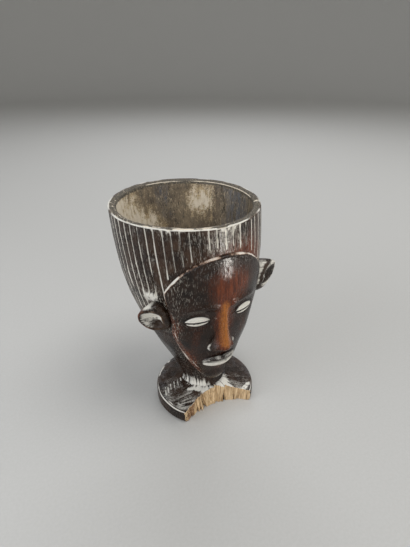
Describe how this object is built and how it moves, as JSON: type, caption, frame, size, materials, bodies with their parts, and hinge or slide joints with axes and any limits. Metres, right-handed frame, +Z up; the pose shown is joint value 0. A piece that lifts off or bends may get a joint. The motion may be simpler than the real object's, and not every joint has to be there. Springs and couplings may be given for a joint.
{
  "type": "figural cup",
  "caption": "Carved wooden drinking cup in the form of a head with incised hair, a raised calm face and standing ears, on a short neck and a round foot broken at the front.",
  "frame": {"origin": "middle of the foot's flat underside", "axes": "+Z up, the face looks along -Y, +X is to the right seen from the front; the cup's axis leans back towards +Y and a little towards -X"},
  "size_m": [0.0887, 0.0942, 0.1305],
  "materials": {
    "dark_wood": "near-black hardwood, glossy from handling",
    "cup_wood": "matt grey-brown hardwood, stained by use",
    "worn_wood": "satin red-brown hardwood, worn by touch",
    "clay_wood": "hardwood rubbed with white clay, matt"
  },
  "bodies": {
    "root": {"cup_bowl": "cup_wood", "coiffure": "dark_wood", "face": "dark_wood", "nose": "worn_wood", "eye_right": "clay_wood", "eye_left": "clay_wood", "upper_lip": "dark_wood", "lower_lip": "clay_wood", "ear_right": "dark_wood", "ear_left": "dark_wood", "neck": "dark_wood", "foot": "dark_wood"}
  },
  "joints": []
}
